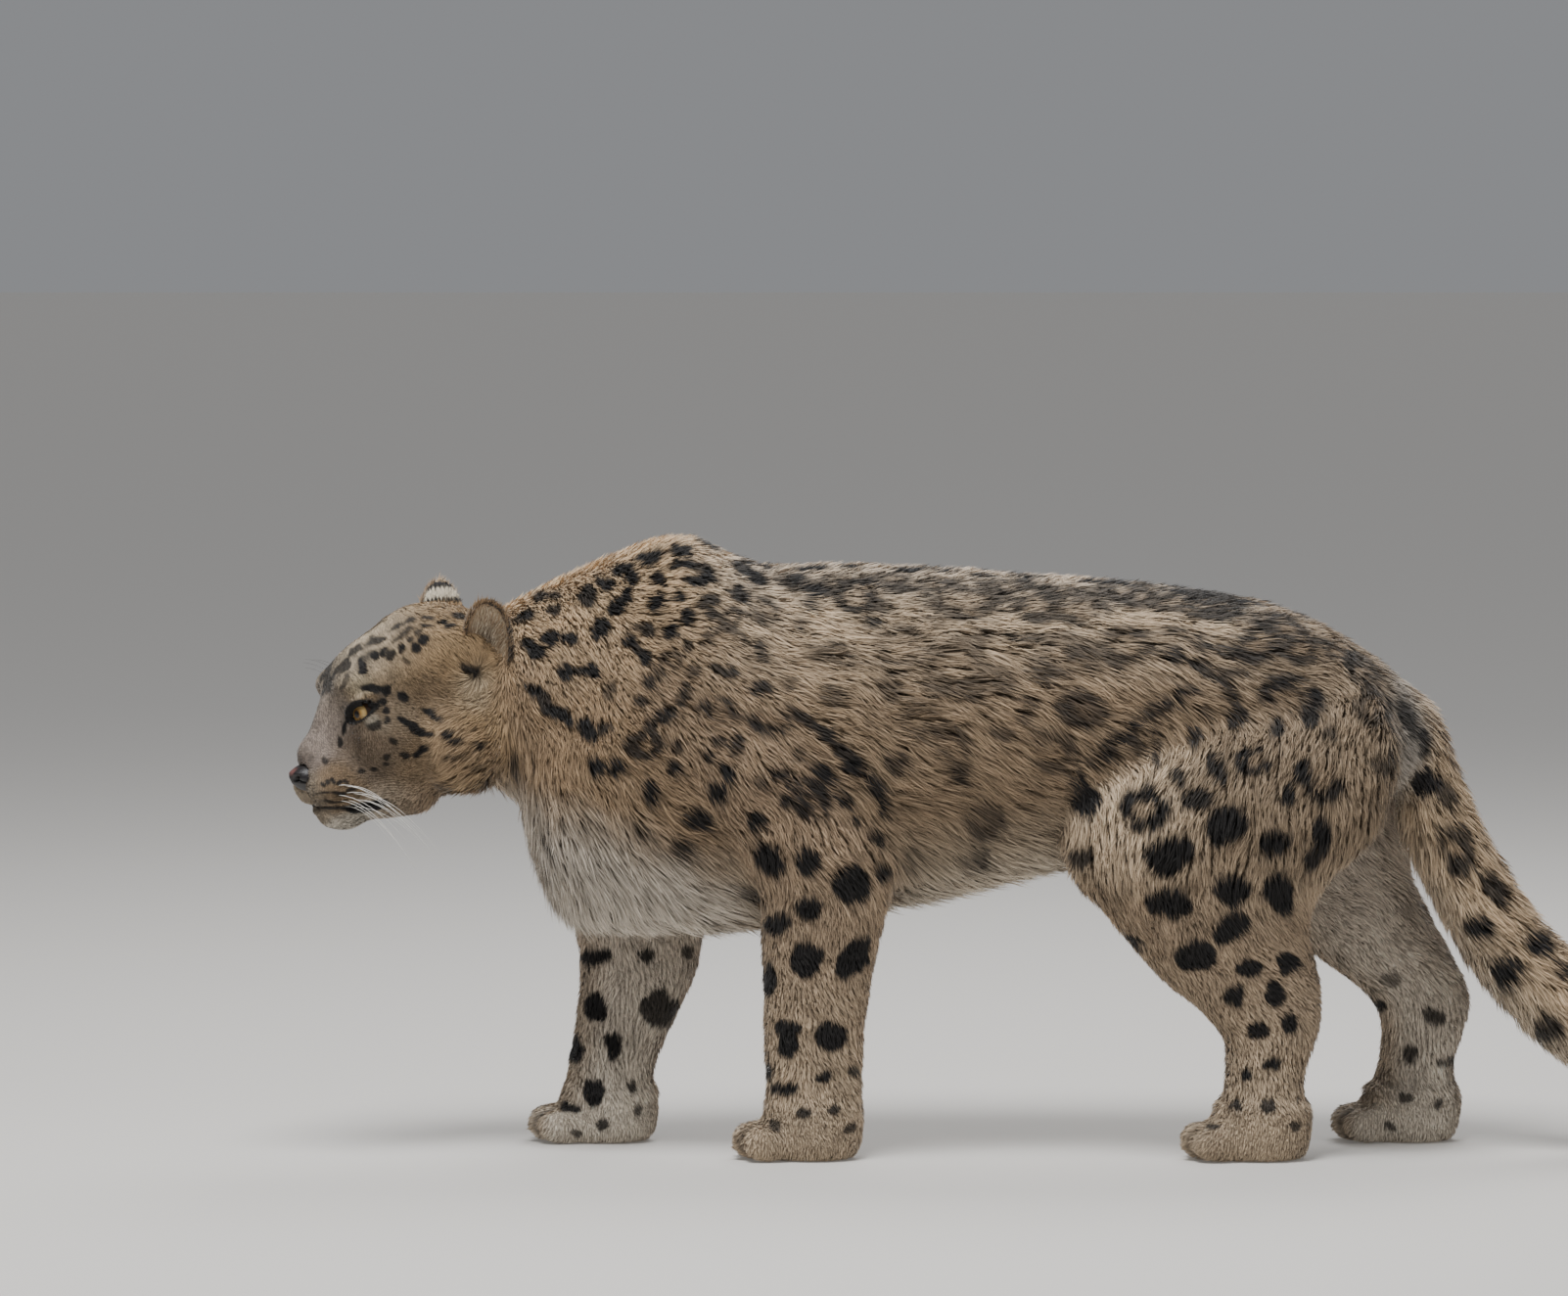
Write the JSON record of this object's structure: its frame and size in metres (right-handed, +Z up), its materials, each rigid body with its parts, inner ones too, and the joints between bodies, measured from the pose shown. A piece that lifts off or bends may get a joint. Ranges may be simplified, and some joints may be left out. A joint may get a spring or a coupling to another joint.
{
  "type": "snow leopard",
  "caption": "Life-size snow leopard walking with its head held low, standing on four broad paws, with a long thick tail.",
  "frame": {"origin": "on the ground under the middle of the overall box", "axes": "+Z up, -X where the animal is heading, -Y its left side, X along the body and tail"},
  "size_m": [1.7557, 0.289, 0.6326],
  "materials": {
    "coat": "thick fur, buff above with dark spots and rosettes",
    "pale_coat": "long pale grey-white fur",
    "nose": "moist black skin",
    "eye": "golden tan, wet gloss"
  },
  "bodies": {
    "root": {"ear_left": "coat", "ear_right": "coat", "eye_left": "eye", "eye_right": "eye", "forearm_left": "coat", "forearm_right": "coat", "forepaw_left": "coat", "forepaw_right": "coat", "head": "coat", "hindpaw_left": "coat", "hindpaw_right": "coat", "hock_left": "coat", "hock_right": "coat", "lower_jaw": "pale_coat", "neck": "coat", "nose": "nose", "shank_left": "coat", "shank_right": "coat", "tail_base": "coat", "tail_lower": "coat", "tail_tip": "coat", "tail_upper": "coat", "thigh_left": "coat", "thigh_right": "coat", "torso": "coat", "upper_arm_left": "coat", "upper_arm_right": "coat"}
  },
  "joints": []
}
